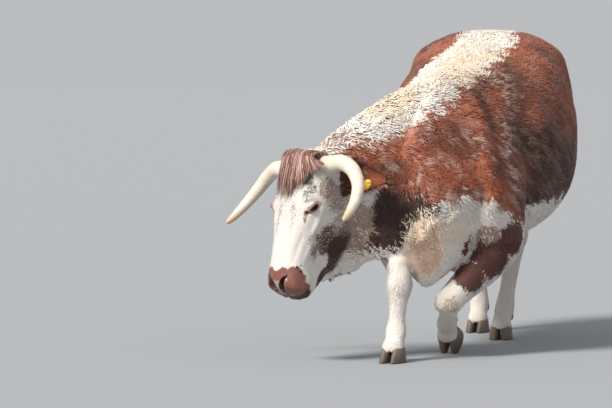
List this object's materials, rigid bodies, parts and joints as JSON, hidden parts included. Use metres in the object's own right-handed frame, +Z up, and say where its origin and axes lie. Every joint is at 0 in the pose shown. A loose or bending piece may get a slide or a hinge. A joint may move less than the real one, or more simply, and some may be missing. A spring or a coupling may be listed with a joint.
{
  "type": "english longhorn cattle",
  "caption": "Life-size still model of an english longhorn, walking with its head low and turned to its right.",
  "frame": {"origin": "centre of the bounding box's base, on the floor between the feet", "axes": "+Z up; the animal walks towards -Y, and +X is its left side"},
  "size_m": [1.3096, 2.2648, 1.3944],
  "materials": {
    "coat": "red-brown roan winter coat with a cream line along the back",
    "face": "short white hair with grey-brown roan cheeks and a brown muzzle",
    "white_coat": "short white hair",
    "horn": "ivory horn, smooth, faintly ringed",
    "hoof": "grey-brown hoof horn with growth rings",
    "eye": "wet dark brown eye",
    "tag": "plain yellow tag, blank"
  },
  "bodies": {
    "root": {"torso": "coat", "neck": "coat", "head": "face", "tail": "coat", "tail_switch": "coat", "ear_left": "coat", "ear_right": "coat", "eye_left": "eye", "eye_right": "eye", "horn_left": "horn", "horn_right": "horn", "ear_tag_panel": "tag", "ear_tag_stud": "tag", "foreleg_left_upper": "white_coat", "foreleg_left_lower": "white_coat", "claw_foreleg_left_left": "hoof", "dewclaw_foreleg_left_left": "hoof", "claw_foreleg_left_right": "hoof", "dewclaw_foreleg_left_right": "hoof", "foreleg_right_upper": "white_coat", "foreleg_right_lower": "white_coat", "claw_foreleg_right_left": "hoof", "dewclaw_foreleg_right_left": "hoof", "claw_foreleg_right_right": "hoof", "dewclaw_foreleg_right_right": "hoof", "hindleg_left_upper": "white_coat", "hindleg_left_lower": "white_coat", "claw_hindleg_left_left": "hoof", "dewclaw_hindleg_left_left": "hoof", "claw_hindleg_left_right": "hoof", "dewclaw_hindleg_left_right": "hoof", "hindleg_right_upper": "white_coat", "hindleg_right_lower": "white_coat", "claw_hindleg_right_left": "hoof", "dewclaw_hindleg_right_left": "hoof", "claw_hindleg_right_right": "hoof", "dewclaw_hindleg_right_right": "hoof"}
  },
  "joints": []
}
